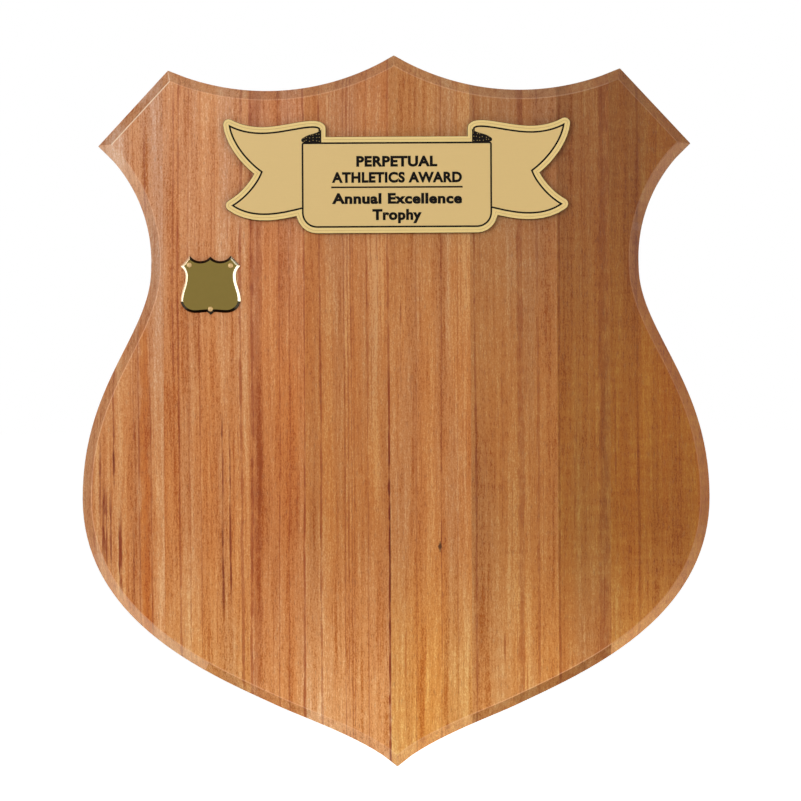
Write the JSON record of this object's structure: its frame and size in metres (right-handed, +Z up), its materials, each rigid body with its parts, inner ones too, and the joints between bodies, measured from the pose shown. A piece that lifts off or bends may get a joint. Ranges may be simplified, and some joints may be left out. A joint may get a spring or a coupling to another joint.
{
  "type": "wooden award plaque",
  "caption": "Shield-shaped timber wall plaque with a scroll header plate, a small pinned metal shield, and a ring hanger and bumpers on the back.",
  "frame": {"origin": "where the wall hook carries the raised ring: on the wall's surface, on the plaque's centre line, 150 mm above the middle of the board", "axes": "+X to the right seen from the front, +Y out of the back into the wall, +Z up"},
  "size_m": [0.3346, 0.0262, 0.3795],
  "materials": {
    "timber_light": "satin lacquer",
    "timber_mid": "satin lacquer",
    "timber_dark": "satin lacquer",
    "gold_laminate": "satin gold face over a black core",
    "tape": "foam",
    "brass": "polished",
    "pin_brass": "satin",
    "hanger_brass": "brass plated",
    "screw_steel": "brass plated",
    "rubber": "matt"
  },
  "bodies": {
    "plaque": {"board_stave_1": "timber_light", "board_stave_2": "timber_mid", "board_stave_3": "timber_light", "board_stave_4": "timber_mid", "board_stave_5": "timber_mid", "board_stave_6": "timber_mid", "board_stave_7": "timber_dark", "board_stave_8": "timber_dark", "scroll_plate": "gold_laminate", "tape_left_tail": "tape", "tape_panel": "tape", "tape_right_tail": "tape", "annual_shield": "brass", "shield_pin_left": "pin_brass", "shield_pin_right": "pin_brass", "shield_pin_bottom": "pin_brass", "hanger_strap": "hanger_brass", "hanger_screw_upper": "screw_steel", "hanger_screw_lower": "screw_steel", "bumper_upper_left": "rubber", "bumper_upper_right": "rubber", "bumper_lower_left": "rubber", "bumper_lower_right": "rubber"},
    "ring": {"hanger_ring": "hanger_brass"}
  },
  "joints": [
    {"name": "ring_hinge", "type": "hinge", "parent": "plaque", "child": "ring", "pos_m": [0, -0.0028, -0.0105], "axis": [1, 0, 0], "range_deg": [0, 180]}
  ]
}
